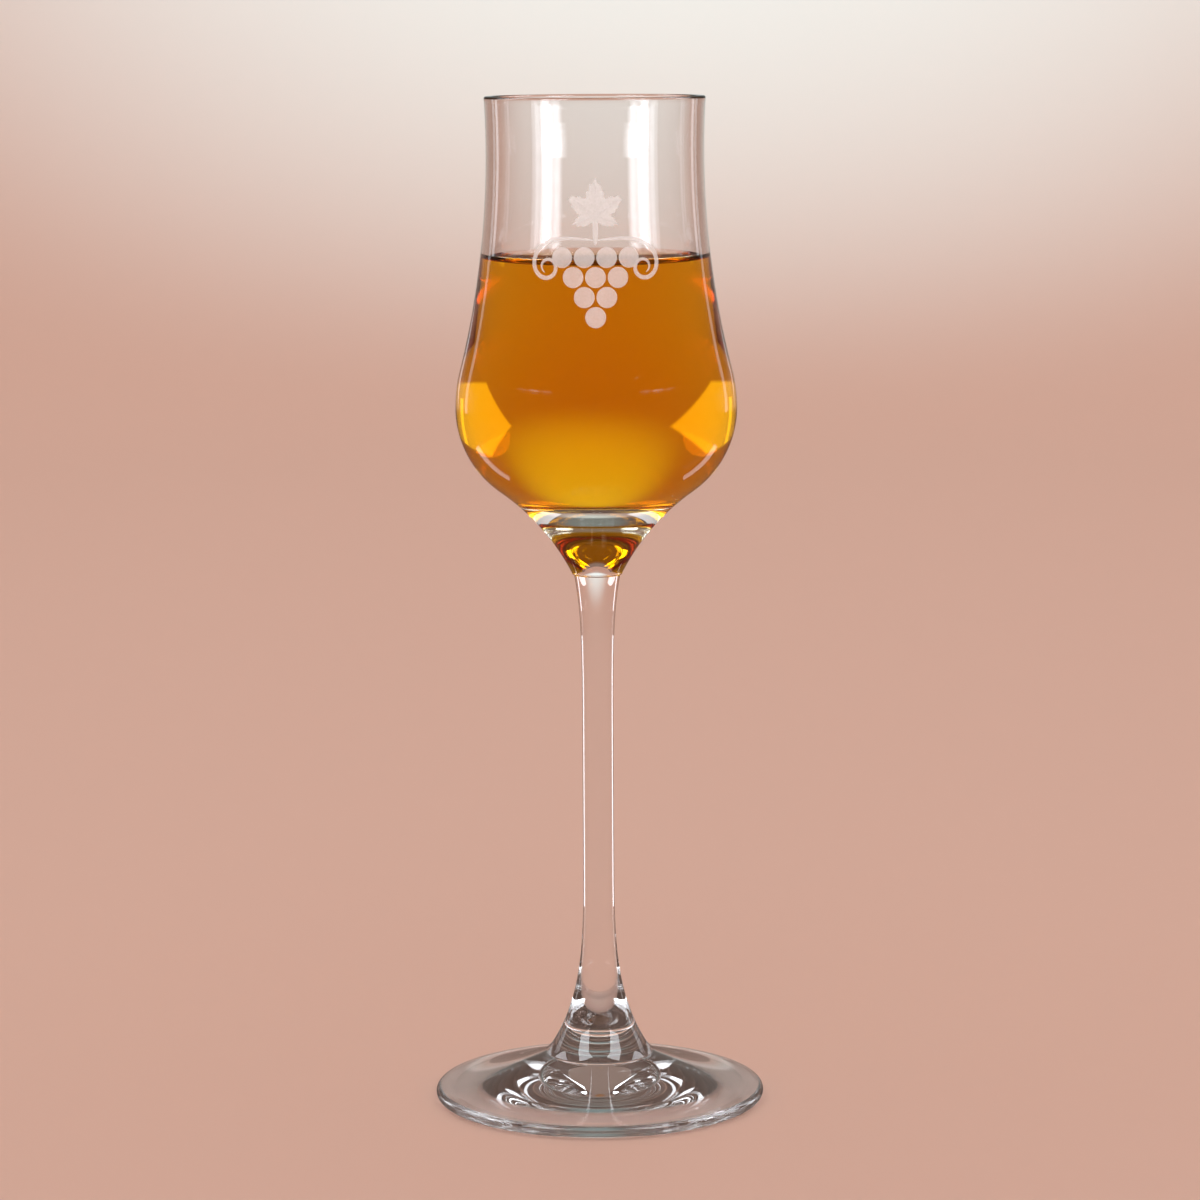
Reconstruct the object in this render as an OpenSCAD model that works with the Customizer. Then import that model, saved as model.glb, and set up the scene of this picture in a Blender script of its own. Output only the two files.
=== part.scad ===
// Grappa glass: a blown tulip bowl, a drawn stem and a pressed foot, fused at two seams,
// with a measure of amber spirit in the bowl. Every piece is a solid of revolution.
// Millimetres. +Z is up, and the origin is on the table, under the middle of the foot.

/* [Foot] */
// Diameter of the foot
foot_d = 61.3; // [52:0.1:72]
// Thickness of the foot at its rounded edge
foot_edge_t = 2.1; // [1.6:0.1:3]
// Height of the foot where the stem stands on it
foot_h = 8.1; // [6:0.1:11]
// How hollow the slope of the foot's top is: 1 is a straight cone
foot_slope_power = 1.5; // [1:0.1:2.5]
// Width of the flat ring that rests on the table
rest_ring_w = 2.5; // [1.5:0.1:5]
// Height of the hollow under the middle of the foot
hollow_h = 2.4; // [0.6:0.1:3.5]

/* [Stem] */
// Length of the stem between its two seams
stem_len = 90.4; // [80:0.1:110]
// Diameter of the stem's straight middle
stem_d = 5.75; // [5:0.05:7]
// Diameter of the stem's top, under the bowl
stem_top_d = 8.5; // [7.5:0.1:9.5]
// Length of the stem that spreads towards the bowl
top_spread_h = 36; // [25:0.5:40]
// How late it spreads towards the bowl
top_spread_power = 5; // [3:0.1:7]
// Diameter of the stem's base, on the foot
stem_base_d = 20; // [15:0.1:25]
// Length of the stem that spreads towards the foot
base_spread_h = 41; // [30:0.5:45]
// How late it spreads towards the foot
base_spread_power = 4.1; // [3:0.1:6]
// Radius of the rounded edge that each fused seam keeps
seam_round = 0.45; // [0.2:0.05:0.6]

/* [Bowl] */
// Height of the bowl from its seam to the rim
bowl_h = 87.5; // [83:0.1:98]
// Height of the waist above the bowl's seam
waist_h = 77.8; // [72:0.1:82]
// Outside diameter at the waist
waist_d = 39.7; // [36:0.1:43]
// Height of the belly's widest ring above the bowl's seam
belly_h = 31; // [28:0.1:36]
// Outside diameter of the belly
belly_d = 51.6; // [48:0.1:56]
// Radius of the belly's curve above its widest ring
belly_over_r = 27.3; // [18:0.1:36]
// Radius of the belly's curve below its widest ring
belly_under_r = 18.8; // [18:0.1:20]
// Radius of the hollow curve that leads from the belly to the stem
base_curve_r = 42.6; // [34:0.1:52]
// Thickness of the blown wall
wall_t = 1.7; // [1:0.1:2.4]
// Thickness of the solid glass between the seam and the drink
floor_t = 15; // [14:0.1:18]

/* [Spirit] */
// Depth of the drink above the bowl's floor
spirit_h = 42.7; // [10:0.1:55]
// How far the drink climbs the wall
meniscus_h = 1.4; // [0.5:0.1:2]
// Distance from the wall in which the climb fades to a third
meniscus_w = 1.2; // [0.8:0.1:2]

/* [Hidden] */

// Longest step along a curve, and largest turn in one step, in degrees
CURVE_STEP = 1.6;
TURN_STEP = 9;
// How far a cutting outline runs past what it cuts
PAST = 2;
GLASS = [0.84, 0.91, 0.93, 0.35];
AMBER = [0.80, 0.42, 0.02, 0.85];
$fn = 128;

// Heights of the two seams and of the other levels above the table
foot_seam_z = foot_h;
bowl_seam_z = foot_seam_z + stem_len;
rim_z = bowl_seam_z + bowl_h;
waist_z = bowl_seam_z + waist_h;
belly_z = bowl_seam_z + belly_h;
floor_z = bowl_seam_z + floor_t;
spirit_z = floor_z + spirit_h;

// Radii of the foot and the stem, and of the bowl's rounded base
foot_edge_r = foot_edge_t / 2;
foot_flat_r = foot_d / 2 - foot_edge_r;
hollow_r = foot_flat_r - rest_ring_w;
stem_r = stem_d / 2;
stem_top_r = stem_top_d / 2;
stem_base_r = stem_base_d / 2;
bowl_base_r = stem_top_r + seam_round;

// Point at a distance from a centre, in a direction in degrees
function along(c, r, turn) = [c[0] + r * cos(turn), c[1] + r * sin(turn)];

// Direction from one point to another, in degrees
function bearing(from, to) = atan2(to[1] - from[1], to[0] - from[0]);

// Centre of the circle of radius r through a point, touching another circle from outside
function touching_centre(point, r, other_c, other_r) =
    let (
        gap = other_c - point,
        d = norm(gap),
        unit = gap / d,
        forward = (r ^ 2 - (r + other_r) ^ 2 + d ^ 2) / (2 * d),
        sideways = sqrt(r ^ 2 - forward ^ 2)
    )
    point + forward * unit + sideways * [unit[1], -unit[0]];

// Points along an arc, both ends included
function arc(c, r, from, to) =
    let (
        sweep = to - from,
        n = ceil(max(abs(sweep) / TURN_STEP, abs(sweep) * PI / 180 * r / CURVE_STEP))
    )
    [for (i = [0:n]) along(c, r, from + sweep * i / n)];

// Bowl outside: one arc under the belly, one over it, a long hollow one through the waist
// and a hollow one down to the stem, each tangent to the next
belly_r = belly_d / 2;
waist_r = waist_d / 2;
under_c = [belly_r - belly_under_r, belly_z];
over_c = [belly_r - belly_over_r, belly_z];
belly_swell = belly_r - waist_r;
belly_drop = waist_z - belly_z;
waist_curve_r = (belly_swell ^ 2 + belly_drop ^ 2) / (2 * belly_swell) - belly_over_r;
waist_c = [waist_r + waist_curve_r, waist_z];
base_top = [bowl_base_r, bowl_seam_z + seam_round];
base_c = touching_centre(base_top, base_curve_r, under_c, belly_under_r);
over_turn = bearing(over_c, waist_c);
under_turn = bearing(under_c, base_c);

// Rim: a round lip as wide as the wall
lip_r = wall_t / 2;
lip_turn = 180 - asin((rim_z - lip_r - waist_z) / (waist_curve_r + lip_r));
lip_c = along(waist_c, waist_curve_r + lip_r, lip_turn);

// Bowl inside: the wall's thickness in from the waist and the belly, then one round floor
floor_round_r = belly_z - floor_z;
floor_c = [belly_r - wall_t - floor_round_r, belly_z];
over_top_z = along(over_c, belly_over_r - wall_t, over_turn)[1];

// Radius of the bowl's inside at a height, on the arc that is there
function inside_r(z) =
    z > over_top_z ? waist_c[0] - sqrt((waist_curve_r + wall_t) ^ 2 - (z - waist_z) ^ 2)
    : z > belly_z ? over_c[0] + sqrt((belly_over_r - wall_t) ^ 2 - (z - belly_z) ^ 2)
    : floor_c[0] + sqrt(floor_round_r ^ 2 - (z - belly_z) ^ 2);

// Stem's radius at a height above the foot's seam: straight in the middle, spreading as a power of the
// distance towards each end
function stem_radius(h) =
    stem_r
    + (stem_base_r - stem_r) * max(0, 1 - h / base_spread_h) ^ base_spread_power
    + (stem_top_r - stem_r) * max(0, 1 - (stem_len - h) / top_spread_h) ^ top_spread_power;

// Height of the foot's top at a share s of the way from the stem's base to the edge
function foot_top_z(s) = foot_edge_t + (foot_h - foot_edge_t) * (1 - s) ^ foot_slope_power;

// Height of the hollow under the foot at a radius: a parabola
function hollow_z(r) = hollow_h * (1 - (r / hollow_r) ^ 2);

foot_steps = ceil((foot_flat_r - stem_base_r) / CURVE_STEP);
foot_points = concat(
    [[0, foot_h]],
    [for (i = [0:foot_steps - 1])
        let (s = i / foot_steps)
        [stem_base_r + (foot_flat_r - stem_base_r) * s, foot_top_z(s)]],
    arc([foot_flat_r, foot_edge_r], foot_edge_r, 90, -90),
    [for (i = [foot_steps:-1:0])
        let (r = hollow_r * i / foot_steps)
        [r, hollow_z(r)]]
);

stem_steps = ceil(stem_len / CURVE_STEP);
stem_points = concat(
    [[0, foot_seam_z]],
    arc([stem_base_r - seam_round, foot_seam_z + seam_round], seam_round, -90, 0),
    [for (i = [1:stem_steps])
        let (h = seam_round + (stem_len - seam_round) * i / stem_steps)
        [stem_radius(h), foot_seam_z + h]],
    [[0, bowl_seam_z]]
);

outside_points = concat(
    arc([bowl_base_r - seam_round, bowl_seam_z + seam_round], seam_round, -90, 0),
    arc(base_c, base_curve_r, bearing(base_c, base_top), under_turn + 180),
    arc(under_c, belly_under_r, under_turn, 0),
    arc(over_c, belly_over_r, 0, over_turn),
    arc(waist_c, waist_curve_r, over_turn + 180, lip_turn)
);

inside_points = concat(
    arc(waist_c, waist_curve_r + wall_t, lip_turn, over_turn + 180),
    arc(over_c, belly_over_r - wall_t, over_turn, 0),
    arc(floor_c, floor_round_r, 0, -90),
    [[0, floor_z]]
);

// Outline of all that lies under the drink's surface, which climbs towards the wall
spirit_r = inside_r(spirit_z);
surface_steps = ceil(spirit_r / CURVE_STEP);
surface_points = concat(
    [[0, floor_z - PAST], [belly_r + PAST, floor_z - PAST]],
    [for (i = [0:surface_steps])
        let (to_wall = (spirit_r + PAST) * (i / surface_steps) ^ 2 - PAST)
        [spirit_r - to_wall, spirit_z + meniscus_h * exp(-to_wall / meniscus_w)]]
);

module foot() {
    color(GLASS)
        rotate_extrude()
            polygon(foot_points);
}

module stem() {
    color(GLASS)
        rotate_extrude()
            polygon(stem_points);
}

module bowl() {
    color(GLASS)
        rotate_extrude()
            polygon(concat(
                [[0, bowl_seam_z]],
                outside_points,
                arc(lip_c, lip_r, lip_turn - 180, lip_turn),
                inside_points
            ));
}

module spirit() {
    color(AMBER)
        rotate_extrude()
            intersection() {
                polygon(concat([[0, rim_z]], inside_points));
                polygon(surface_points);
            }
}

foot();
stem();
bowl();
spirit();
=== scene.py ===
# %% [markdown]
# A grappa glass: a blown tulip bowl, a drawn stem and a pressed foot, fused at two seams, with a measure
# of amber spirit in the bowl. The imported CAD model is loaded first. It gives the frame and the sizes, and
# every piece made here stands for one of its nodes or lies on one.

# %% Frame
import math

import bpy
import numpy as np
from mathutils import Matrix, Vector


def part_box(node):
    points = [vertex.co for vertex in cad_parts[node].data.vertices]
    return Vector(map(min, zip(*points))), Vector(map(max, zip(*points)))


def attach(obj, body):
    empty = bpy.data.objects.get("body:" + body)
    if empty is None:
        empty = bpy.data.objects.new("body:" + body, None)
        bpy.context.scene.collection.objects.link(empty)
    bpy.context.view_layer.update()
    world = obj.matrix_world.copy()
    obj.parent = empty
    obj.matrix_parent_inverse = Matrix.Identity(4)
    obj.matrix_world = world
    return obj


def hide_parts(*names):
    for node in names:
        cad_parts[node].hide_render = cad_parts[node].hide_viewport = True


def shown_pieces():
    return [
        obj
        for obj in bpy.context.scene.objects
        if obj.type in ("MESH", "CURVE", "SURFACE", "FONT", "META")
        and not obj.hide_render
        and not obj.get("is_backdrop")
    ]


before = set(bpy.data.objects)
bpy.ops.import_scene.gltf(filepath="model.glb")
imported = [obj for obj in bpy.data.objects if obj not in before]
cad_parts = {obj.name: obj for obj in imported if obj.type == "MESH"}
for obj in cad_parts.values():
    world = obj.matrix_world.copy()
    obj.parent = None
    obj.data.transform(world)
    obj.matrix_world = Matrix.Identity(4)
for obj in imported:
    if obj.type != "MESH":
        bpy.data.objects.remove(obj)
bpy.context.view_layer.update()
MM = 0.001

# %% [markdown]
# Glass shows its shape by what it bends and mirrors, and every facet would show. Subdividing the CAD
# meshes would round their seams and rim away, so each curve is worked out again, only finer. The heights
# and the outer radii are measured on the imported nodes, in millimetres. The arcs and powers between them
# are those of the CAD model, and each piece names its own further down.

# %% Sizes
foot_box = np.array(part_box("foot")) / MM
stem_box = np.array(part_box("stem")) / MM
bowl_box = np.array(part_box("bowl")) / MM
spirit_box = np.array(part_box("spirit")) / MM

FOOT_SEAM_Z = stem_box[0, 2]
BOWL_SEAM_Z = bowl_box[0, 2]
RIM_Z = bowl_box[1, 2]
FLOOR_Z = spirit_box[0, 2]
CONTACT_Z = spirit_box[1, 2]
FOOT_R = foot_box[1, 0]
STEM_BASE_R = stem_box[1, 0]
BELLY_R = bowl_box[1, 0]
print(f"rim {RIM_Z:.1f}, belly {2 * BELLY_R:.1f} wide, foot {2 * FOOT_R:.1f} wide, drink to {CONTACT_Z:.1f}")

# %% [markdown]
# Every piece of this object is closed and round, so one way of making a mesh serves all of them: rings of
# points, stacked from one pole to the other. A lathed piece has circles for rings, a frosted patch its
# outline, shrunk step by step, and a frosted line the ovals of its section. Blender's primitives could be
# pulled into shape instead, but rings are plain arrays that numpy works out whole.

# %% Closed meshes from rings
SHARP_DEG = 40


def new_object(name, data):
    """A new object with its data, linked to the scene."""
    made = bpy.data.objects.new(name, data)
    bpy.context.scene.collection.objects.link(made)
    return made


def ring_faces(count, around):
    """Numbers of the points of stacked rings, of the next point round each ring, and the quads between.

    Point j of ring i joins point j + 1 of that ring and point j of ring i + 1. The last point of a ring
    joins its first, and number 0 is left for the pole before the first ring.
    """
    index = 1 + np.arange(count * around).reshape(count, around)
    after = np.roll(index, -1, axis=1)
    quads = np.stack([index[:-1], after[:-1], after[1:], index[1:]], axis=-1).reshape(-1, 4)
    return index, after, quads


def closed_piece(name, rings, poles, finishes, finish_of_band):
    """A closed mesh from rings, an array of (ring, point, xyz) in mm, between two poles.

    Each pole is one point that closes its end with a fan. Band i lies between ring i - 1 and ring i, with
    the poles counted as rings, and takes finish_of_band[i].
    """
    count, around = rings.shape[:2]
    points = np.vstack([poles[:1], rings.reshape(-1, 3), poles[1:]]) * MM
    index, after, quads = ring_faces(count, around)
    first_fan = np.stack([np.zeros_like(index[0]), after[0], index[0]], axis=-1)
    last_fan = np.stack([index[-1], after[-1], np.full_like(index[-1], len(points) - 1)], axis=-1)
    mesh = bpy.data.meshes.new(name)
    mesh.from_pydata(points.tolist(), [], first_fan.tolist() + quads.tolist() + last_fan.tolist())
    for finish in finishes:
        mesh.materials.append(finish)
    mesh.polygons.foreach_set("material_index", np.repeat(finish_of_band, around).astype(np.int32))
    mesh.shade_smooth()
    mesh.set_sharp_from_angle(angle=math.radians(SHARP_DEG))
    mesh.validate()
    print(f"{name}: {len(mesh.polygons)} faces, {len(mesh.vertices)} points")
    return new_object(name, mesh)


# %% [markdown]
# The glass and the drink are turned shapes: one outline, carried round the axis. The Screw modifier could
# carry it, but here each stretch of the outline brings its own finish, which the faces take with them.

# %% Lathed pieces
AROUND = 224


def lathe(name, stretches):
    """A piece of revolution from stretches, a list of (points, finish), each from where the last one ended.

    Every point (radius, height) is turned about Z: x = radius * cos(turn), y = radius * sin(turn), and
    z = height. The first and the last point lie on the axis and become the poles.
    """
    profile = np.vstack([points[min(i, 1):] for i, (points, finish) in enumerate(stretches)])
    finishes = list(dict.fromkeys(finish for points, finish in stretches))
    finish_of_band = np.repeat(
        [finishes.index(finish) for points, finish in stretches],
        [len(points) - 1 for points, finish in stretches],
    )
    turn = np.linspace(0, 2 * np.pi, AROUND, endpoint=False)
    radius, height = profile[1:-1, :1], profile[1:-1, 1:]
    rings = np.stack([radius * np.cos(turn), radius * np.sin(turn), height + 0 * turn], axis=-1)
    poles = np.array([[0, 0, profile[0, 1]], [0, 0, profile[-1, 1]]])
    return closed_piece(name, rings, poles, finishes, finish_of_band)


print(f"a facet of the belly is {2 * math.pi * BELLY_R / AROUND:.2f} mm wide")

# %% [markdown]
# The outline of a blown glass is smooth, and a drawing builds it from circle arcs that touch each other.
# Bezier curves could follow it as well, but an arc is exact and needs only a centre, a radius and two
# directions. Its points lie close enough that no facet shows.

# %% Curves
STEP = 0.7
TURN_STEP_DEG = 5


def arc(centre, radius, start, end):
    """Points on a circle from the direction start to the direction end, both in degrees, ends included."""
    sweep = abs(end - start)
    count = math.ceil(max(sweep / TURN_STEP_DEG, math.radians(sweep) * radius / STEP))
    turn = np.radians(np.linspace(start, end, count + 1))
    return np.stack([centre[0] + radius * np.cos(turn), centre[1] + radius * np.sin(turn)], axis=-1)


def bearing(start, end):
    """Direction from one point to another, in degrees."""
    return math.degrees(math.atan2(end[1] - start[1], end[0] - start[0]))


def touching_centre(point, radius, other, other_radius):
    """Centre of the circle through a point that touches another circle from outside.

    It lies at radius from the point and at the sum of the radii from the other centre, on the side away
    from Z.
    """
    gap = other - point
    distance = np.linalg.norm(gap)
    unit = gap / distance
    forward = (radius**2 - (radius + other_radius) ** 2 + distance**2) / (2 * distance)
    sideways = math.sqrt(radius**2 - forward**2)
    return point + forward * unit + sideways * np.array([unit[1], -unit[0]])


def on_axis(z):
    """The point of the axis at a height, as an array of one point."""
    return np.array([[0.0, z]])


print("points in an arc round half the belly:", len(arc((0, 0), BELLY_R, 0, 180)))

# %% [markdown]
# Colours are written as they look on a screen, in sRGB hex, and one function turns them into the linear
# values that shaders work with. One more function adds a node, with its settings and its links, so that
# each material below reads as a list of what it is made of.

# %% Material helpers
# A Mix node has sockets for each kind of data, and these are the ones for colours
MIX_A, MIX_B, MIX_RESULT = 6, 7, 2


def linear(colour):
    """A #RRGGBB colour as linear RGBA.

    A channel c becomes ((c + 0.055) / 1.055) ** 2.4, or c / 12.92 where it is dark.
    """
    srgb = np.array([int(colour[i:i + 2], 16) for i in (1, 3, 5)]) / 255
    light = np.where(srgb <= 0.04045, srgb / 12.92, ((srgb + 0.055) / 1.055) ** 2.4)
    return (*light.tolist(), 1.0)


def node(owner, kind, inputs=(), **settings):
    """Adds a node to a material, a lamp or the world.

    A setting is an attribute of the node, and an input is a value or another node's output.
    """
    made = owner.node_tree.nodes.new(kind)
    for name, value in settings.items():
        setattr(made, name, value)
    for name, value in dict(inputs).items():
        if isinstance(value, bpy.types.NodeSocket):
            owner.node_tree.links.new(value, made.inputs[name])
        else:
            made.inputs[name].default_value = value
    return made


def empty_material(name):
    """A material without any node."""
    material = bpy.data.materials.new(name)
    material.use_nodes = True
    material.node_tree.nodes.clear()
    return material


def per_mm(size):
    """Scale of a texture on Object coordinates, in metres, whose pattern repeats after a size in mm."""
    return 1 / (size * MM)


print(f"the middle grey #808080 is {linear('#808080')[0]:.3f} in linear light")

# %% [markdown]
# Soda-lime glass bends light by 1.52. Blown and drawn glass is polished by the flame: it has no grain, but
# its surface is never quite even, and long shallow waves make reflections swim a little. Pressed glass
# keeps finer waves from the mould. The waves could be cut into the mesh, but a bump of a hundredth of a
# millimetre does the same with no more points. One function makes every kind, from the length and the
# depth of its waves.

# %% Glass
GLASS_IOR = 1.52
SPIRIT_IOR = 1.36
CLEAR = "#FFFFFF"
FILM_SIZE = 9
FILM_STARTS = 0.45
FILM_FULL = 0.8
FILM_ROUGHNESS = 0.025


def clear_glass(name, ior, wave_length, wave_depth):
    """Clear glass with shallow waves of a length and a depth in mm, and a faint film of wiping marks."""
    material = empty_material(name)
    where = node(material, "ShaderNodeTexCoord").outputs["Object"]
    waves = node(material, "ShaderNodeTexNoise", {
        "Vector": where, "Scale": per_mm(wave_length), "Detail": 1.0})
    bump = node(material, "ShaderNodeBump", {
        "Height": waves.outputs["Fac"], "Distance": wave_depth * MM, "Strength": 1.0})
    film = node(material, "ShaderNodeTexNoise", {
        "Vector": where, "Scale": per_mm(FILM_SIZE), "Detail": 3.0})
    dullness = node(material, "ShaderNodeMapRange", {
        "Value": film.outputs["Fac"], "From Min": FILM_STARTS, "From Max": FILM_FULL,
        "To Min": 0.0, "To Max": FILM_ROUGHNESS})
    glass = node(material, "ShaderNodeBsdfPrincipled", {
        "Base Color": linear(CLEAR), "Transmission Weight": 1.0, "IOR": ior,
        "Roughness": dullness.outputs["Result"], "Normal": bump.outputs["Normal"]})
    node(material, "ShaderNodeOutputMaterial", {"Surface": glass.outputs["BSDF"]})
    print(f"{name}: index {ior:.3f}, waves {wave_length} mm long and {wave_depth} mm deep")
    return material


blown_glass = clear_glass("blown_soda_lime_glass", GLASS_IOR, wave_length=16, wave_depth=0.012)
drawn_glass = clear_glass("drawn_soda_lime_glass", GLASS_IOR, wave_length=12, wave_depth=0.008)
pressed_glass = clear_glass("pressed_soda_lime_glass", GLASS_IOR, wave_length=9, wave_depth=0.014)
wet_glass = clear_glass(
    "blown_glass_wetted_by_spirit", GLASS_IOR / SPIRIT_IOR, wave_length=16, wave_depth=0.012)

# %% [markdown]
# At the two seams the pieces were fused hot, so no surface is left inside the glass. The meshes could be
# joined into one, but then the pieces would be lost. So each keeps its own closed mesh, and the faces that
# meet inside a seam let light straight through.

# %% Fused seam
fused_seam = empty_material("fused_glass_seam")
straight_on = node(fused_seam, "ShaderNodeBsdfTransparent")
node(fused_seam, "ShaderNodeOutputMaterial", {"Surface": straight_on.outputs["BSDF"]})
print(fused_seam.name, "lets light straight through")

# %% [markdown]
# The spirit is amber because it swallows blue within a few millimetres and green within a few centimetres.
# A coloured surface would look the same all over. Volume Absorption takes more from a long way through the
# belly than from a short one near the floor, as the drink does. The free surface bends light by 1.36. At
# the wetted wall the glass has a finish with the smaller step, and the spirit adds none.

# %% Amber spirit
SPIRIT_COLOUR = "#FCED00"
SPIRIT_DENSITY = 160.0

spirit_liquid = empty_material("amber_spirit")
index_step = node(spirit_liquid, "ShaderNodeAttribute", attribute_name="index_step")
spirit_surface = node(spirit_liquid, "ShaderNodeBsdfPrincipled", {
    "Base Color": linear(CLEAR), "Transmission Weight": 1.0, "Roughness": 0.0, "IOR": SPIRIT_IOR})
spirit_liquid.node_tree.links.new(index_step.outputs["Fac"], spirit_surface.inputs["IOR"])
spirit_body = node(spirit_liquid, "ShaderNodeVolumeAbsorption", {
    "Color": linear(SPIRIT_COLOUR), "Density": SPIRIT_DENSITY})
node(spirit_liquid, "ShaderNodeOutputMaterial", {
    "Surface": spirit_surface.outputs["BSDF"], "Volume": spirit_body.outputs["Volume"]})
print(f"{spirit_liquid.name}: index {SPIRIT_IOR}, colour {SPIRIT_COLOUR}, density {SPIRIT_DENSITY:.0f}")

# %% [markdown]
# The foot is a pressed disc. It rests on a flat ring, is hollow underneath, and its top falls from the
# stem to a round edge in a hollow slope. A bevelled cylinder would come near its outline, but both hollows
# act as lenses and make the swirls in the foot. So the whole outline is drawn, from under the middle and
# round the edge to the stem's seam.

# %% Foot
FOOT_EDGE_T = 2.1
FOOT_SLOPE_POWER = 1.5
REST_RING_W = 2.5
HOLLOW_H = 2.4
SEAM_ROUND = 0.45
FOOT_EDGE_R = FOOT_EDGE_T / 2
FOOT_FLAT_R = FOOT_R - FOOT_EDGE_R
HOLLOW_R = FOOT_FLAT_R - REST_RING_W
SEAM_DISC_R = STEM_BASE_R - SEAM_ROUND
SLOPE_POINTS = 60


def foot_hollow():
    """Height = hollow * (1 - (radius / hollow radius) ** 2): a parabola from the axis to the rest ring."""
    radius = np.linspace(0, HOLLOW_R, SLOPE_POINTS)
    return np.stack([radius, HOLLOW_H * (1 - (radius / HOLLOW_R) ** 2)], axis=-1)


def foot_top():
    """Height = edge + (seam - edge) * (1 - s) ** power, with s the share of the way from stem to edge."""
    s = np.linspace(1, 0, SLOPE_POINTS)
    height = FOOT_EDGE_T + (FOOT_SEAM_Z - FOOT_EDGE_T) * (1 - s) ** FOOT_SLOPE_POWER
    return np.stack([STEM_BASE_R + (FOOT_FLAT_R - STEM_BASE_R) * s, height], axis=-1)


foot_edge = arc((FOOT_FLAT_R, FOOT_EDGE_R), FOOT_EDGE_R, -90, 90)
foot_seam = np.array([[SEAM_DISC_R, FOOT_SEAM_Z], [0, FOOT_SEAM_Z]])
foot = lathe("foot_pressed", [
    (np.vstack([foot_hollow(), foot_edge, foot_top()[1:], foot_seam[:1]]), pressed_glass),
    (foot_seam, fused_seam),
])
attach(foot, "root")
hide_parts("foot")

# %% [markdown]
# The stem was drawn out of the hot glass, so it is thin in the middle and spreads to both ends, slowly at
# first. A Bezier outline could follow it by eye. A power of the distance needs only two numbers for each
# end: how far the spread reaches, and how late it comes. The base keeps a small round edge where it stands
# on the foot.

# %% Stem
STEM_R = 2.875
STEM_TOP_R = 4.25
TOP_SPREAD_H = 36.0
TOP_SPREAD_POWER = 5.0
BASE_SPREAD_H = 41.0
BASE_SPREAD_POWER = 4.1
STEM_LEN = BOWL_SEAM_Z - FOOT_SEAM_Z
STEM_POINTS = 180


def stem_side():
    """Radius = middle + (base - middle) * (1 - h / reach) ** power + the same from the top.

    The height h runs from the base's round edge to the bowl's seam.
    """
    h = np.linspace(SEAM_ROUND, STEM_LEN, STEM_POINTS)
    to_base = np.clip(1 - h / BASE_SPREAD_H, 0, None) ** BASE_SPREAD_POWER
    to_top = np.clip(1 - (STEM_LEN - h) / TOP_SPREAD_H, 0, None) ** TOP_SPREAD_POWER
    radius = STEM_R + (STEM_BASE_R - STEM_R) * to_base + (STEM_TOP_R - STEM_R) * to_top
    return np.stack([radius, FOOT_SEAM_Z + h], axis=-1)


stem_edge = arc((SEAM_DISC_R, FOOT_SEAM_Z + SEAM_ROUND), SEAM_ROUND, -90, 0)
stem_line = np.vstack([stem_edge, stem_side()[2:]])
stem = lathe("stem_drawn", [
    (np.vstack([on_axis(FOOT_SEAM_Z), stem_line[:1]]), fused_seam),
    (stem_line, drawn_glass),
    (np.vstack([stem_line[-1:], on_axis(BOWL_SEAM_Z)]), fused_seam),
])
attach(stem, "root")
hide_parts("stem")

# %% [markdown]
# The bowl was blown, and its outside is four arcs that touch in turn: hollow over the stem, full under the
# belly, full over it, and a long hollow one through the waist to the rim. The rim was cut and then melted,
# so it is flat with small rounded edges. A Bevel modifier could round them, but it would not know the
# wall's two arcs, so the roundings are set against these arcs.

# %% Bowl outside
WAIST_H = 77.8
WAIST_R = 19.85
BELLY_H = 31.0
BELLY_OVER_R = 27.3
BELLY_UNDER_R = 18.8
BASE_CURVE_R = 42.6
WALL_T = 1.7
LIP_ROUND = 0.45
WAIST_Z = BOWL_SEAM_Z + WAIST_H
BELLY_Z = BOWL_SEAM_Z + BELLY_H

base_top = np.array([STEM_TOP_R + SEAM_ROUND, BOWL_SEAM_Z + SEAM_ROUND])
under_centre = np.array([BELLY_R - BELLY_UNDER_R, BELLY_Z])
over_centre = np.array([BELLY_R - BELLY_OVER_R, BELLY_Z])
swell = BELLY_R - WAIST_R
drop = WAIST_Z - BELLY_Z
waist_curve_r = (swell**2 + drop**2) / (2 * swell) - BELLY_OVER_R
waist_centre = np.array([WAIST_R + waist_curve_r, WAIST_Z])
base_centre = touching_centre(base_top, BASE_CURVE_R, under_centre, BELLY_UNDER_R)
over_turn = bearing(over_centre, waist_centre)
under_turn = bearing(under_centre, base_centre)


def lip_corner(inset):
    """Centre of the rounding of one of the lip's edges, an inset off the outside, and its turn."""
    radius = waist_curve_r + inset
    turn_deg = 180 - math.degrees(math.asin((RIM_Z - LIP_ROUND - WAIST_Z) / radius))
    turn = math.radians(turn_deg)
    return waist_centre + radius * np.array([math.cos(turn), math.sin(turn)]), turn_deg


outer_lip, outer_turn = lip_corner(LIP_ROUND)
inner_lip, inner_turn = lip_corner(WALL_T - LIP_ROUND)
bowl_outside = np.vstack([
    arc((STEM_TOP_R, BOWL_SEAM_Z + SEAM_ROUND), SEAM_ROUND, -90, 0),
    arc(base_centre, BASE_CURVE_R, bearing(base_centre, base_top), under_turn + 180)[1:],
    arc(under_centre, BELLY_UNDER_R, under_turn, 0)[1:],
    arc(over_centre, BELLY_OVER_R, 0, over_turn)[1:],
    arc(waist_centre, waist_curve_r, over_turn + 180, outer_turn)[1:],
    arc(outer_lip, LIP_ROUND, outer_turn - 180, 90)[1:],
    arc(inner_lip, LIP_ROUND, 90, inner_turn),
])
print(f"bowl outside: {len(bowl_outside)} points, waist curve {waist_curve_r:.1f} mm in radius")

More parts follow.
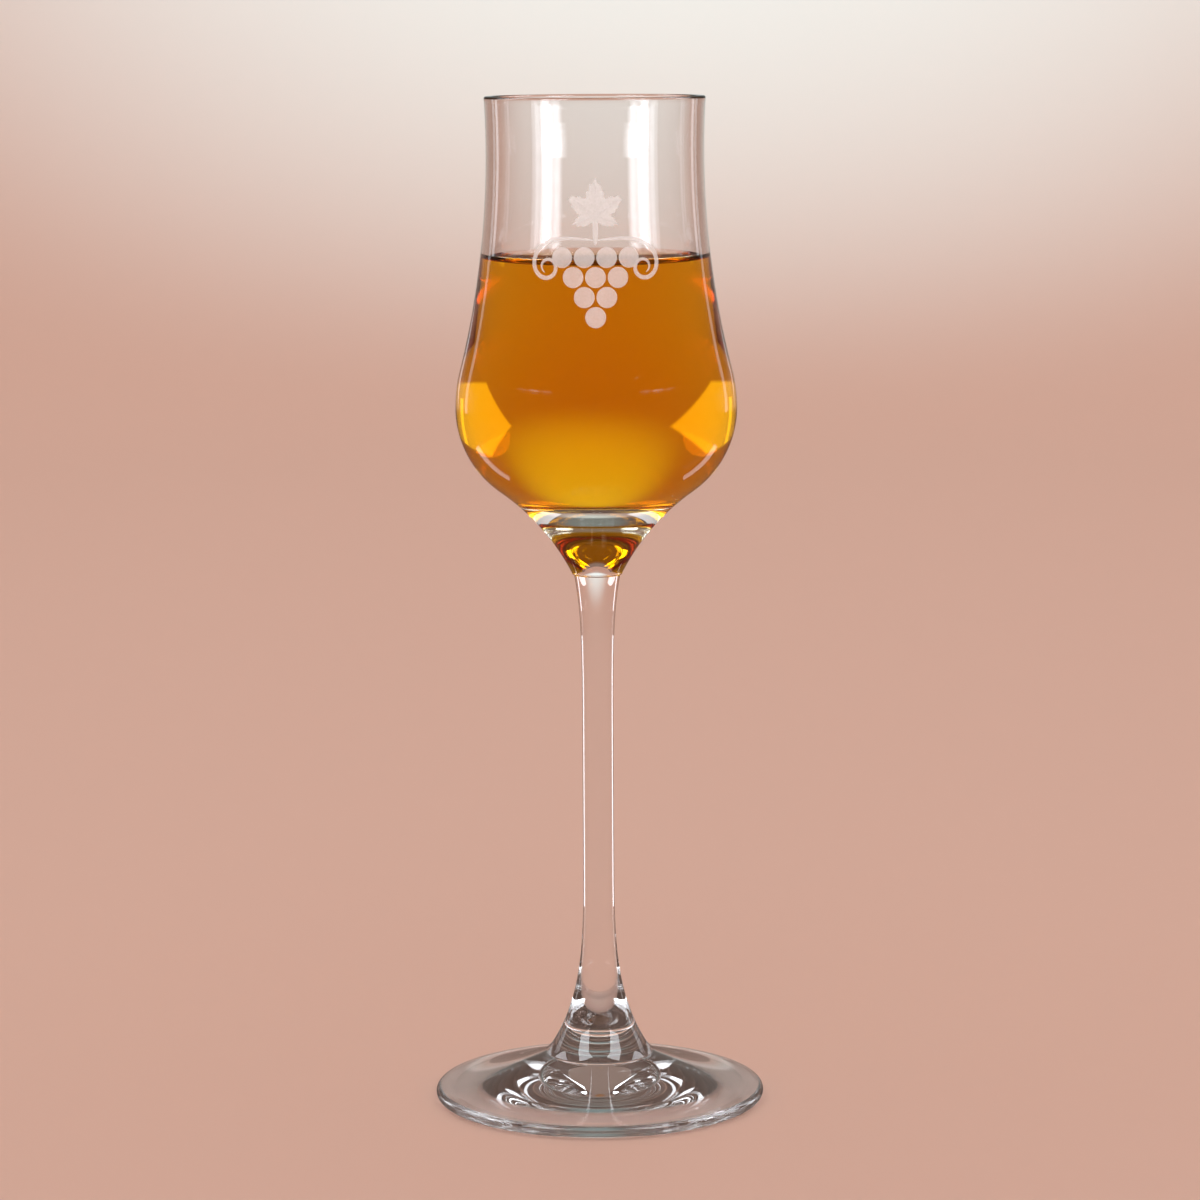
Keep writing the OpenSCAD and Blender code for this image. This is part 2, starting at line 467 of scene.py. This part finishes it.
# %% [markdown]
# The blown wall is one thickness almost everywhere, and the glass gathers in a solid base over the stem.
# So the inside has the same waist and belly, a wall's thickness in, and then one round floor. Solidify
# would give the wall, but no thick base. The wall has two finishes inside: dry over the drink, and wet
# below its edge, where glass meets spirit and light is bent far less.

# %% Bowl inside
floor_round_r = BELLY_Z - FLOOR_Z
floor_centre = (BELLY_R - WALL_T - floor_round_r, BELLY_Z)


def inside_wall(grow, contact):
    """The bowl's inside from a height down to the axis, moved into the glass by grow.

    It is the waist's arc and the belly's, a wall's thickness in, and one round floor.
    """
    waist_r = waist_curve_r + WALL_T - grow
    start = 180 + math.degrees(math.asin((WAIST_Z - contact) / waist_r))
    return np.vstack([
        arc(waist_centre, waist_r, start, over_turn + 180),
        arc(over_centre, BELLY_OVER_R - WALL_T + grow, over_turn, 0)[1:],
        arc(floor_centre, floor_round_r + grow, 0, -90)[1:],
        on_axis(FLOOR_Z - grow),
    ])


wet_inside = inside_wall(0, CONTACT_Z)
wet_turn = bearing(waist_centre, wet_inside[0]) % 360
dry_inside = arc(waist_centre, waist_curve_r + WALL_T, inner_turn, wet_turn)
bowl = lathe("bowl_blown", [
    (np.vstack([on_axis(BOWL_SEAM_Z), bowl_outside[:1]]), fused_seam),
    (np.vstack([bowl_outside, dry_inside[1:]]), blown_glass),
    (np.vstack([dry_inside[-1:], wet_inside[1:]]), wet_glass),
])
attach(bowl, "root")
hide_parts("bowl")

# %% [markdown]
# The spirit fills the bowl from the floor up and climbs the wall a little all round. It could end right at
# the wall, but two faces in one place confuse the renderer. So it reaches a hair's breadth into the glass:
# a ray always enters it before it leaves the wall, and the amber has no gap. Each face carries the step in
# refractive index that it makes: the whole of it at the free surface, none inside the glass.

# %% Spirit
MENISCUS_H = 1.4
MENISCUS_W = 1.2
SPIRIT_Z = CONTACT_Z - MENISCUS_H
INTO_WALL = 0.06
SURFACE_POINTS = 90


def spirit_top():
    """Height = level + climb * exp(-(distance to the wall) / width), from the wall to the axis.

    The points lie closer towards the wall, as the square of their share of the way.
    """
    wall = wet_inside[0, 0] + INTO_WALL
    to_wall = wall * np.linspace(0, 1, SURFACE_POINTS) ** 2
    return np.stack([wall - to_wall, SPIRIT_Z + MENISCUS_H * np.exp(-to_wall / MENISCUS_W)], axis=-1)


spirit_side = inside_wall(INTO_WALL, CONTACT_Z)[::-1]
spirit_face = np.vstack([spirit_side[-1:], spirit_top()[1:]])
spirit = lathe("spirit_amber", [(np.vstack([spirit_side, spirit_face[1:]]), spirit_liquid)])
band_step = np.repeat([1.0, SPIRIT_IOR], [len(spirit_side) - 1, len(spirit_face) - 1])
face_step = spirit.data.attributes.new("index_step", "FLOAT", "FACE")
face_step.data.foreach_set("value", np.repeat(band_step, AROUND))
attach(spirit, "root")
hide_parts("spirit")

# %% [markdown]
# On the front of the bowl a sprig of vine is sandblasted into the wall. Sand leaves the surface matt and
# white, and it scatters light to both sides. Rough clear glass would only blur what lies behind it, so the
# finish is a white one that covers a third of it, with a fine grain and some light passing through its
# thickness. Real grit is finer than a pixel, and the grain is drawn as coarse as it needs to show, at a
# third of a millimetre.

# %% Sandblasted glass
FROST_T = 0.05
FROST_GRAIN = 0.35
FROST_GRAIN_DEPTH = 0.03
FROST_DARK = "#CFC9C3"
FROST_LIGHT = "#E9E5E1"
FROST_COVER = 0.34

frost = empty_material("sandblasted_glass")
frost_where = node(frost, "ShaderNodeTexCoord").outputs["Object"]
frost_grain = node(frost, "ShaderNodeTexNoise", {
    "Vector": frost_where, "Scale": per_mm(FROST_GRAIN), "Detail": 3.0})
frost_bump = node(frost, "ShaderNodeBump", {
    "Height": frost_grain.outputs["Fac"], "Distance": FROST_GRAIN_DEPTH * MM, "Strength": 0.6})
frost_shade = node(frost, "ShaderNodeMix", {
    "Factor": frost_grain.outputs["Fac"], MIX_A: linear(FROST_DARK), MIX_B: linear(FROST_LIGHT)},
    data_type="RGBA")
frost_surface = node(frost, "ShaderNodeBsdfPrincipled", {
    "Base Color": frost_shade.outputs[MIX_RESULT], "Roughness": 0.75, "Alpha": FROST_COVER,
    "Normal": frost_bump.outputs["Normal"], "Subsurface Weight": 0.5,
    "Subsurface Radius": (1.0, 1.0, 1.0), "Subsurface Scale": FROST_T * MM})
node(frost, "ShaderNodeOutputMaterial", {"Surface": frost_surface.outputs["BSDF"]})
print(f"{frost.name}: grain {FROST_GRAIN} mm, covers {FROST_COVER:.0%}")

# %% [markdown]
# Sand takes hardly any glass away. The marks could be painted by a mask in the wall's own material, but an
# outline in nodes is hard to read and is lost outside Blender. So each mark is a closed shape a few
# hundredths of a millimetre thick that lies on the wall. It is drawn on the unrolled wall, across and up
# in millimetres, and then laid round the glass.

# %% Marks on the wall
SPRIG_Z = 158.0
FROST_LIFT = 0.02


def on_wall(flat, lift):
    """Points of the unrolled wall (across, up) laid round the bowl, lifted off it: turn = across / radius.

    The radius is that of the waist's arc at the height. Across starts at the front and runs to the right.
    """
    z = SPRIG_Z + flat[..., 1]
    radius = waist_centre[0] - np.sqrt(waist_curve_r**2 - (z - WAIST_Z) ** 2)
    turn = flat[..., 0] / radius
    return np.stack([(radius + lift) * np.sin(turn), -(radius + lift) * np.cos(turn), z], axis=-1)


def frosted(name, rings, lifts, ends, end_lifts):
    """A frosted mark from rings on the unrolled wall, each with its lift, and two poles to close it."""
    one_finish = np.zeros(len(rings) + 1)
    piece = closed_piece(name, on_wall(rings, lifts), on_wall(ends, end_lifts), [frost], one_finish)
    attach(piece, "root")


# %% [markdown]
# A stencil has patches and lines. A patch could be a filled curve with a Bevel, but then its faces would
# be long and thin. Here its rings are the outline, shrunk towards the middle. A line is an oval section,
# carried along a path and thinned to both ends.

# %% Patches and lines
OUTLINE_POINTS = 360
BACK_SHARES = np.array([0.4, 0.75, 1.0])
FRONT_SHARES = np.array([0.92, 0.75, 0.4])
LINE_SIDES = 12
LINE_TAPER = 0.4


def frosted_patch(name, middle, reach):
    """A patch round a middle, as far as reach in mm in each direction, thickest in the middle.

    Its rings are the outline shrunk by a share s. The back lies flat, and the front rises as
    sqrt(1 - s ** 2).
    """
    turn = np.linspace(0, 2 * np.pi, OUTLINE_POINTS, endpoint=False)
    outline = np.stack([reach(turn) * np.cos(turn), reach(turn) * np.sin(turn)], axis=-1)
    share = np.concatenate([BACK_SHARES, FRONT_SHARES])[:, None, None]
    rise = np.concatenate([0 * BACK_SHARES, np.sqrt(1 - FRONT_SHARES**2)])[:, None]
    lifts = FROST_LIFT + FROST_T * rise
    end_lifts = FROST_LIFT + FROST_T * np.array([0, 1])
    frosted(name, middle + share * outline, lifts, np.array([middle, middle]), end_lifts)


def frosted_line(name, path, width):
    """A line of a width along a path on the unrolled wall, with an oval section and tapered ends.

    At a share s of the way the half width is width / 2 * sin(pi * s) ** taper, across the path's own
    direction.
    """
    along = np.gradient(path, axis=0)
    across = np.stack([-along[:, 1], along[:, 0]], axis=-1) / np.linalg.norm(along, axis=1)[:, None]
    share = np.linspace(0, 1, len(path))[1:-1, None]
    half = width / 2 * np.sin(np.pi * share) ** LINE_TAPER
    turn = np.linspace(0, 2 * np.pi, LINE_SIDES, endpoint=False)
    rings = path[1:-1, None] + (half * np.cos(turn))[..., None] * across[1:-1, None]
    lifts = FROST_LIFT + FROST_T / 2 * (1 + np.sin(turn)) + 0 * share
    frosted(name, rings, lifts, path[[0, -1]], np.full(2, FROST_LIFT + FROST_T / 2))


# %% [markdown]
# The bunch hangs point down, with four grapes in its top row and one fewer in each row below. An Array
# modifier could repeat a grape along a row, but the rows would still differ, so two loops place them.

# %% Grapes
GRAPE_R = 1.85
GRAPE_STEP = 4.0
ROW_STEP = 3.5
BUNCH_ROWS = 4


def grape(turn):
    """The reach of a grape: the same all round."""
    return GRAPE_R + 0 * turn


for row in range(BUNCH_ROWS):
    for column in range(BUNCH_ROWS - row):
        across = (column - (BUNCH_ROWS - 1 - row) / 2) * GRAPE_STEP
        frosted_patch(f"frost_grape_{row}_{column}", np.array([across, -row * ROW_STEP]), grape)

# %% [markdown]
# A vine leaf has five pointed lobes, a sawn edge, and a vein from its middle into each lobe. It could be
# traced point by point, but one rule gives its edge: the reach falls evenly to both sides of a lobe's tip.

# %% Leaf, stalk and veins
LEAF_R = 6.4
LEAF_UP = 7.3
LEAF_NOTCH = 0.22
LOBE_FADE_DEG = 62
# The direction of each lobe in degrees, and its share of the leaf's reach
LOBES = ((90, 1.0), (35, 0.9), (145, 0.9), (-20, 0.66), (200, 0.66))
SAW_TEETH = 36
SAW_DEPTH = 0.05
STALK_UP = 2.2
STALK_W = 1.0
VEIN_W = 0.5
VEIN_REACH = 0.85
STRAIGHT_POINTS = 30


def vine_leaf(turn):
    """The reach of a leaf with pointed lobes: from a lobe's tip it falls evenly with the turn from it.

    Where two lobes meet the larger reach counts. The notch at the stalk keeps a small one, and a cosine
    saws the edge.
    """
    reach = np.full_like(turn, LEAF_NOTCH)
    for lobe_deg, share in LOBES:
        away = np.abs((np.degrees(turn) - lobe_deg + 180) % 360 - 180)
        reach = np.maximum(reach, share * (1 - away / LOBE_FADE_DEG))
    return LEAF_R * reach * (1 + SAW_DEPTH * np.cos(SAW_TEETH * (turn - np.pi / 2)))


leaf_middle = np.array([0, LEAF_UP])
frosted_patch("frost_leaf", leaf_middle, vine_leaf)
frosted_line("frost_stalk", np.linspace([0, STALK_UP], leaf_middle, STRAIGHT_POINTS), STALK_W)
for vein, (lobe_deg, share) in enumerate(LOBES):
    lobe = np.radians(lobe_deg)
    vein_end = leaf_middle + VEIN_REACH * share * LEAF_R * np.array([np.cos(lobe), np.sin(lobe)])
    frosted_line(f"frost_vein_{vein}", np.linspace(leaf_middle, vein_end, STRAIGHT_POINTS), VEIN_W)

# %% [markdown]
# A tendril leaves the bunch on each side, nearly straight at first, and curls in ever faster as it grows.
# A plain spiral turns from its very start, so the path is stepped along a heading that follows a power of
# the way instead.

# %% Tendrils
TENDRIL_UP = 3.0
TENDRIL_LEN = 26.0
TENDRIL_START_DEG = 6
TENDRIL_TURN_DEG = 520
TENDRIL_POWER = 2.6
TENDRIL_W = 0.8
TENDRIL_POINTS = 120


def tendril(side):
    """A path that curls in: its heading is start - whole turn * share ** power, and each step follows."""
    share = np.linspace(0, 1, TENDRIL_POINTS)
    heading = np.radians(TENDRIL_START_DEG - TENDRIL_TURN_DEG * share**TENDRIL_POWER)
    steps = np.stack([side * np.cos(heading), np.sin(heading)], axis=-1) * TENDRIL_LEN / TENDRIL_POINTS
    return np.array([0, TENDRIL_UP]) + np.cumsum(steps, axis=0)


for side, hand in ((-1, "left"), (1, "right")):
    frosted_line(f"frost_tendril_{hand}", tendril(side), TENDRIL_W)

# %% [markdown]
# The camera stands where the photograph was taken from. Its place could be tried by eye, but the ellipses
# of the rim, the drink and the foot give it: their widths and heights were fitted, in an image of 1200 by
# 1200 pixels.

# %% Camera
PHOTO_PIXELS = 1200
FOCAL_PIXELS = 3898
SENSOR_MM = 36
CAMERA_PLACE = (0.5, -711.4, 198.9)
CAMERA_DOWN_DEG = 8.41
CAMERA_ROLL_DEG = -0.3
NEAREST = 0.01
FARTHEST = 20

camera_data = bpy.data.cameras.new("camera")
camera_data.sensor_width = SENSOR_MM
camera_data.lens = SENSOR_MM * FOCAL_PIXELS / PHOTO_PIXELS
camera_data.clip_start = NEAREST
camera_data.clip_end = FARTHEST
camera = new_object("camera", camera_data)
camera.matrix_world = (
    Matrix.Translation(Vector(CAMERA_PLACE) * MM)
    @ Matrix.Rotation(math.radians(90 - CAMERA_DOWN_DEG), 4, "X")
    @ Matrix.Rotation(math.radians(CAMERA_ROLL_DEG), 4, "Z")
)
bpy.context.scene.camera = camera
print(f"camera: {camera_data.lens:.1f} mm lens, {-CAMERA_PLACE[1]:.0f} mm in front of the glass")

# %% [markdown]
# A glass has no colour of its own, so the studio makes the picture. The floor is pale blush paper. A glass
# that mirrors pale paper on all its sides looks milky, and photographers hang dark cloth around it. Here
# the paper's colour is painted darker for a ray that was mirrored on its way. This painted shade stands for
# dark surroundings. Only a part of the backdrop, low behind the glass, is painted as lit and stays pale in
# the mirror, which keeps the edges of the walls bright.

# %% Blush paper
PAPER_COLOUR = "#DDB9A9"
# The paper with painted shade, as mirrored rays see it outside the part painted as lit
MIRRORED_SHADE_COLOUR = "#7C665C"
PAPER_GRAIN = 2.5
PAPER_GRAIN_DEPTH = 0.05
# The part painted as lit, pale to mirrored rays: along which axis, where it starts and where it is fully
# painted as lit, in mm
PAINTED_LIT_PART = (("Y", 500, 900), ("Z", 240, 170), ("Z", 0, 20))

paper = empty_material("blush_studio_paper")
paper_where = node(paper, "ShaderNodeTexCoord").outputs["Object"]
paper_grain = node(paper, "ShaderNodeTexNoise", {
    "Vector": paper_where, "Scale": per_mm(PAPER_GRAIN), "Detail": 2.0})
paper_bump = node(paper, "ShaderNodeBump", {
    "Height": paper_grain.outputs["Fac"], "Distance": PAPER_GRAIN_DEPTH * MM, "Strength": 0.4})
spot = node(paper, "ShaderNodeSeparateXYZ", {"Vector": paper_where}).outputs
painted_lit = 1.0
for axis, start, full in PAINTED_LIT_PART:
    painted_lit_along = node(paper, "ShaderNodeMapRange", {
        "Value": spot[axis], "From Min": start * MM, "From Max": full * MM}).outputs["Result"]
    painted_lit = node(paper, "ShaderNodeMath", {0: painted_lit, 1: painted_lit_along}, operation="MULTIPLY").outputs["Value"]
# Painted shade: a mirrored ray sees the paper in the darker colour, except in the part painted as lit
mirrors_met = node(paper, "ShaderNodeLightPath").outputs["Glossy Depth"]
was_mirrored = node(paper, "ShaderNodeMath", {0: mirrors_met, 1: 0.5}, operation="GREATER_THAN")
painted_dimming = node(paper, "ShaderNodeMath", {
    0: was_mirrored.outputs["Value"], 1: painted_lit}, operation="SUBTRACT", use_clamp=True)
paper_with_painted_shade = node(paper, "ShaderNodeMix", {
    "Factor": painted_dimming.outputs["Value"], MIX_A: linear(PAPER_COLOUR), MIX_B: linear(MIRRORED_SHADE_COLOUR)},
    data_type="RGBA")
paper_surface = node(paper, "ShaderNodeBsdfPrincipled", {
    "Base Color": paper_with_painted_shade.outputs[MIX_RESULT], "Roughness": 0.9, "Specular IOR Level": 0.1,
    "Normal": paper_bump.outputs["Normal"]})
node(paper, "ShaderNodeOutputMaterial", {"Surface": paper_surface.outputs["BSDF"]})
print(f"{paper.name}: {PAPER_COLOUR}, and {MIRRORED_SHADE_COLOUR} where it is mirrored")

# %% [markdown]
# The paper is bent into a round cove, which is floor and backdrop in one. A plane and a wall would meet in
# a line behind the glass, and only a round cove is plain from every side. It is measured in metres. It
# lies a film of air below the foot, because a floor in the very plane of the rest ring would show through
# the glass as noise.

# %% Cove
COVE_FLOOR_R = 1.1
COVE_BEND_R = 0.7
COVE_TOP = 1.5
COVE_MIDDLE_R = 0.02
COVE_FLOOR_RINGS = 30
COVE_BEND_RINGS = 25
COVE_AROUND = 96
AIR_FILM = 0.15


def cove_rings():
    """Rings of the cove's profile: a flat floor, a quarter circle, an upright wall, each turned about Z."""
    bend = np.radians(np.linspace(-90, 0, COVE_BEND_RINGS))[1:]
    floor_r = np.linspace(COVE_MIDDLE_R, COVE_FLOOR_R, COVE_FLOOR_RINGS)
    wall_r = COVE_FLOOR_R + COVE_BEND_R
    radius = np.concatenate([floor_r, COVE_FLOOR_R + COVE_BEND_R * np.cos(bend), [wall_r]])[:, None]
    height = np.concatenate([0 * floor_r, COVE_BEND_R * (1 + np.sin(bend)), [COVE_TOP]])[:, None]
    turn = np.linspace(0, 2 * np.pi, COVE_AROUND, endpoint=False)
    lowered = height - AIR_FILM * MM + 0 * turn
    return np.stack([radius * np.cos(turn), radius * np.sin(turn), lowered], axis=-1)


rings = cove_rings()
index, after, quads = ring_faces(*rings.shape[:2])
fan = np.stack([np.zeros_like(index[0]), index[0], after[0]], axis=-1)
cove_points = [(0, 0, -AIR_FILM * MM), *rings.reshape(-1, 3).tolist()]
cove_mesh = bpy.data.meshes.new("cove")
cove_mesh.from_pydata(cove_points, [], fan.tolist() + quads[:, ::-1].tolist())
cove_mesh.materials.append(paper)
cove_mesh.shade_smooth()
cove = new_object("cove", cove_mesh)
cove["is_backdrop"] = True
print(f"cove: {len(cove_mesh.polygons)} faces, {2 * (COVE_FLOOR_R + COVE_BEND_R):.1f} m across")

# %% [markdown]
# A clear glass shows its lamps, mirrored by its surfaces or bent by its body, so each lamp stands where
# its image in the photographed glass says. The lamps light the glass alone: a lamp can be linked to the
# objects that it may light, and so the paper keeps its even light. A lamp is given its radiance, which is
# how bright it looks, and its power follows from its size.

# %% Lamps
LAMP_COLOUR = "#F2F8FF"
glass_pieces = bpy.data.collections.new("glass_pieces")
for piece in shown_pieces():
    glass_pieces.objects.link(piece)


def toward(turn_deg, rise_deg):
    """The direction away from the axis at a turn from the camera's side, to the right, and a rise."""
    turn, rise = math.radians(turn_deg), math.radians(rise_deg)
    return Vector((math.sin(turn) * math.cos(rise), -math.cos(turn) * math.cos(rise), math.sin(rise)))


def hang(name, light, place, aim):
    """Hangs a lamp at a place and turns it to its aim, both in mm.

    It lights the glass alone, and the camera doesn't see it.
    """
    lamp = new_object(name, light)
    lamp.location = Vector(place) * MM
    lamp.rotation_mode = "QUATERNION"
    lamp.rotation_quaternion = (Vector(aim) - Vector(place)).to_track_quat("-Z", "Y")
    lamp.visible_camera = False
    lamp.light_linking.receiver_collection = glass_pieces
    return lamp


def softbox(name, place, aim, width, height, radiance, half_spread_deg=90):
    """A flat lamp of a width, a height and a radiance.

    A bare panel of p watts has the radiance p / (4 * area). A honeycomb grid keeps light to a cone of
    half-angle a: at an angle x from the middle the radiance is then
    p / (4 * area) * (tan a - tan x) / (tan a - a).
    """
    half_spread = math.radians(half_spread_deg)
    light = bpy.data.lights.new(name, "AREA")
    light.color = linear(LAMP_COLOUR)[:3]
    light.shape = "RECTANGLE"
    light.size = width * MM
    light.size_y = height * MM
    light.spread = 2 * half_spread
    light.energy = radiance * 4 * width * height * MM**2 * (1 - half_spread / math.tan(half_spread))
    return hang(name, light, place, aim)


# %% [markdown]
# Two tall softboxes in front make the bright strips on the upper bowl. The wall there curves both ways,
# and a flat panel would show as a bent strip. So each strip is a bank of small lamps, one for each patch
# of the wall, at the place which that patch mirrors to the camera. A grid keeps each lamp's light on its
# own patch, so that the rest of the glass doesn't show the bank. The columns at the strip's edges are
# dimmer, as a softbox fades at its edge.

# %% Strips on the upper bowl
STRIP_AWAY = 200
STRIP_RADIANCE = 11
# Share of the radiance for the inner, the middle and the outer column
STRIP_SHARE = {-1: 0.45, 0: 1.0, 1: 0.3}
STRIP_HALF_SPREAD_DEG = 10
STRIP_TURN_DEG = 26
STRIP_STEP_DEG = 5.35
STRIP_FOOT_Z = 159.6
STRIP_BELOW_RIM = 1.0
STRIP_ROWS = 5
STRIP_ROW_H = (RIM_Z - STRIP_BELOW_RIM - STRIP_FOOT_Z) / STRIP_ROWS


def waist_wall(turn_deg, z):
    """Point of the bowl's outside on the waist's arc, at a turn from the camera's side, and its normal."""
    lean = (WAIST_Z - z) / waist_curve_r
    level = math.sqrt(1 - lean**2)
    outward = toward(turn_deg, 0)
    up = Vector((0, 0, 1))
    return outward * (waist_centre[0] - waist_curve_r * level) + up * z, outward * level + up * lean


def mirror_place(turn_deg, z):
    """Where the wall at a turn and a height mirrors to the camera: ray - 2 * (ray . normal) * normal."""
    point, normal = waist_wall(turn_deg, z)
    ray = (point - Vector(CAMERA_PLACE)).normalized()
    return point + STRIP_AWAY * (ray - 2 * ray.dot(normal) * normal)


for side in (-1, 1):
    for column, share in STRIP_SHARE.items():
        for row in range(STRIP_ROWS):
            turn = side * (STRIP_TURN_DEG + column * STRIP_STEP_DEG)
            z = STRIP_FOOT_Z + (row + 0.5) * STRIP_ROW_H
            width = mirror_place(turn + STRIP_STEP_DEG / 2, z) - mirror_place(turn - STRIP_STEP_DEG / 2, z)
            height = mirror_place(turn, z + STRIP_ROW_H / 2) - mirror_place(turn, z - STRIP_ROW_H / 2)
            softbox(f"strip_{side}_{column}_{row}", mirror_place(turn, z), waist_wall(turn, z)[0],
                    width.length, height.length, STRIP_RADIANCE * share, STRIP_HALF_SPREAD_DEG)
print("strips:", 2 * len(STRIP_SHARE) * STRIP_ROWS, "lamps")

# %% [markdown]
# The full belly is a strong lens. What each flank shows lies behind the glass on the other side, and all
# of that light comes in through one spot at the back of the bowl, a few millimetres wide. A softbox there
# would show in the stem and the foot as well. A lamp in a snoot shines at this spot alone and fills the
# flank with one bright patch. The snoot's mouth, a box with a pointed end, gives the patch its outline.

# %% Snoots behind the belly
BELLY_EXIT = (8.8, 24.0, 126.5)
SNOOT_TURN_DEG = 45
SNOOT_RISE_DEG = 0.5
SNOOT_HALF_SPREAD_DEG = 31
SNOOT_BLEND = 0.05
SNOOT_AWAY = 50
SNOOT_LAMP_R = 30
SNOOT_RADIANCE = 0.8
# The turn of the mouth's point, and how its height grows with the way from there, for each side
SNOOT_TIP_DEG = {-1: 16, 1: 19.5}
SNOOT_TAPER = {-1: 0.6, 1: 0.95}
SNOOT_HALF_HIGH = 0.22
SNOOT_EDGE = 0.02


def snoot(side):
    """A round lamp that shines only through a mouth.

    With p watts and a radius r its radiance is p / (2 * pi * r) ** 2. Each edge of the mouth is a plane
    through the lamp, given by its normal. A beam passes where its product with all four normals is below
    0: two that taper to the point, and two level ones.
    """
    light = bpy.data.lights.new(f"snoot_{side}", "SPOT")
    light.color = linear(LAMP_COLOUR)[:3]
    light.shadow_soft_size = SNOOT_LAMP_R * MM
    light.spot_size = 2 * math.radians(SNOOT_HALF_SPREAD_DEG)
    light.spot_blend = SNOOT_BLEND
    light.energy = SNOOT_RADIANCE * (2 * math.pi * SNOOT_LAMP_R * MM) ** 2
    light.use_nodes = True
    light.node_tree.nodes.clear()
    beam = node(light, "ShaderNodeTexCoord").outputs["Normal"]
    tip = math.tan(math.radians(SNOOT_TURN_DEG - SNOOT_TIP_DEG[side]))
    taper = SNOOT_TAPER[side]
    past = -1.0
    for up in (-1, 1):
        for normal in ((-side * taper, up, taper * tip), (0, up, SNOOT_HALF_HIGH)):
            edge = node(light, "ShaderNodeVectorMath", {0: beam, 1: normal}, operation="DOT_PRODUCT")
            past = node(light, "ShaderNodeMath", {
                0: past, 1: edge.outputs["Value"]}, operation="MAXIMUM").outputs["Value"]
    mouth = node(light, "ShaderNodeMapRange", {"Value": past, "From Min": 0.0, "From Max": -SNOOT_EDGE})
    shine = node(light, "ShaderNodeEmission", {"Strength": mouth.outputs["Result"]})
    node(light, "ShaderNodeOutputLight", {"Surface": shine.outputs["Emission"]})
    belly_exit = Vector((-side * BELLY_EXIT[0], BELLY_EXIT[1], BELLY_EXIT[2]))
    place = belly_exit + SNOOT_AWAY * toward(side * (180 - SNOOT_TURN_DEG), SNOOT_RISE_DEG)
    return hang(light.name, light, place, belly_exit)


for side in (-1, 1):
    print(snoot(side).name, "shines at the back of the belly")

# %% [markdown]
# The other softboxes stand in pairs. The keys in front light the frost and give the bright triangles at
# the stem's base, the fills behind give the swirls in the foot, and narrow strips draw the thin lines on
# the belly and along the stem. One large light would do for a solid thing, but clear glass needs each of
# its lines drawn by a lamp.

# %% Softboxes in pairs
def pair(name, turn, rise, away, aim_z, width, height, radiance):
    """A softbox on each side, at a turn from the camera's side, a rise and a distance from its aim."""
    aim = Vector((0, 0, aim_z))
    for side in (-1, 1):
        softbox(f"{name}_{side}", aim + away * toward(side * turn, rise), aim, width, height, radiance)
    print(f"{name}: two softboxes, {width} by {height} mm")


pair("key", turn=48, rise=44, away=700, aim_z=60, width=300, height=420, radiance=6.0)
pair("fill", turn=115, rise=42, away=800, aim_z=60, width=300, height=400, radiance=4.0)
pair("belly_strip", turn=130, rise=0, away=500, aim_z=155, width=44, height=150, radiance=0.9)
pair("stem_strip", turn=120, rise=-5, away=130, aim_z=50, width=20, height=74, radiance=1.4)

# %% [markdown]
# A cool lamp on the backdrop makes the paper fade to near white behind the rim. The bright backdrop is
# also what shines yellow through the bottom of the belly. A gradient in the paper's colour could imitate
# it, but the light of a lamp falls off in the way that the photograph shows. Unlike the others, this lamp
# lights everything, and it isn't seen in the glass itself.

# %% Backdrop glow
GLOW_COLOUR = "#94E4FF"
GLOW_POWER = 106
GLOW_SPREAD_DEG = 74
GLOW_LAMP_R = 100
GLOW_PLACE = (0, 800, 1200)
GLOW_AIM = (70, 1800, 560)

glow_light = bpy.data.lights.new("backdrop_glow", "SPOT")
glow_light.color = linear(GLOW_COLOUR)[:3]
glow_light.energy = GLOW_POWER
glow_light.spot_size = math.radians(GLOW_SPREAD_DEG)
glow_light.spot_blend = 1.0
glow_light.shadow_soft_size = GLOW_LAMP_R * MM
glow = hang("backdrop_glow", glow_light, GLOW_PLACE, GLOW_AIM)
glow.light_linking.receiver_collection = None
glow.visible_glossy = False
glow.visible_transmission = False
print("lamps in all:", len(bpy.data.lights))

# %% [markdown]
# The paper is lit by even light from all round. It could come from a dome of lamps, and the world does the
# same without any. The room over the cove is dim, and the glass sees it so: rays that look at it, straight
# or by way of the glass, get the dim colour, and rays that only carry light get white.

# %% Even light
ROOM_COLOUR = "#87736A"
EVEN_COLOUR = "#FFFFFF"
EVEN_LIGHT = 1.12

world = bpy.data.worlds.new("studio")
world.use_nodes = True
bpy.context.scene.world = world
room_ray = node(world, "ShaderNodeLightPath").outputs
looked_at = node(world, "ShaderNodeMath", {
    0: room_ray["Is Camera Ray"], 1: room_ray["Is Glossy Ray"]}, operation="MAXIMUM")
room = node(world, "ShaderNodeMix", {
    "Factor": looked_at.outputs["Value"], MIX_A: linear(EVEN_COLOUR), MIX_B: linear(ROOM_COLOUR)},
    data_type="RGBA")
background = world.node_tree.nodes["Background"]
world.node_tree.links.new(room.outputs[MIX_RESULT], background.inputs["Color"])
background.inputs["Strength"].default_value = EVEN_LIGHT
print(f"even light: strength {EVEN_LIGHT}, room {ROOM_COLOUR}")

# %% [markdown]
# Light that is caught in thick glass bounces many times before it leaves, and a path that ends too early
# is black. Denoising can't bring it back, so paths may be long here. Standard is the view transform that
# shows a colour as it is written.

# %% Render settings
BOUNCES = 48
SEE_THROUGH_BOUNCES = 24

scene = bpy.context.scene
scene.view_settings.view_transform = "Standard"
scene.cycles.max_bounces = BOUNCES
scene.cycles.glossy_bounces = BOUNCES
scene.cycles.transmission_bounces = BOUNCES
scene.cycles.transparent_max_bounces = SEE_THROUGH_BOUNCES
print("bounces:", BOUNCES)
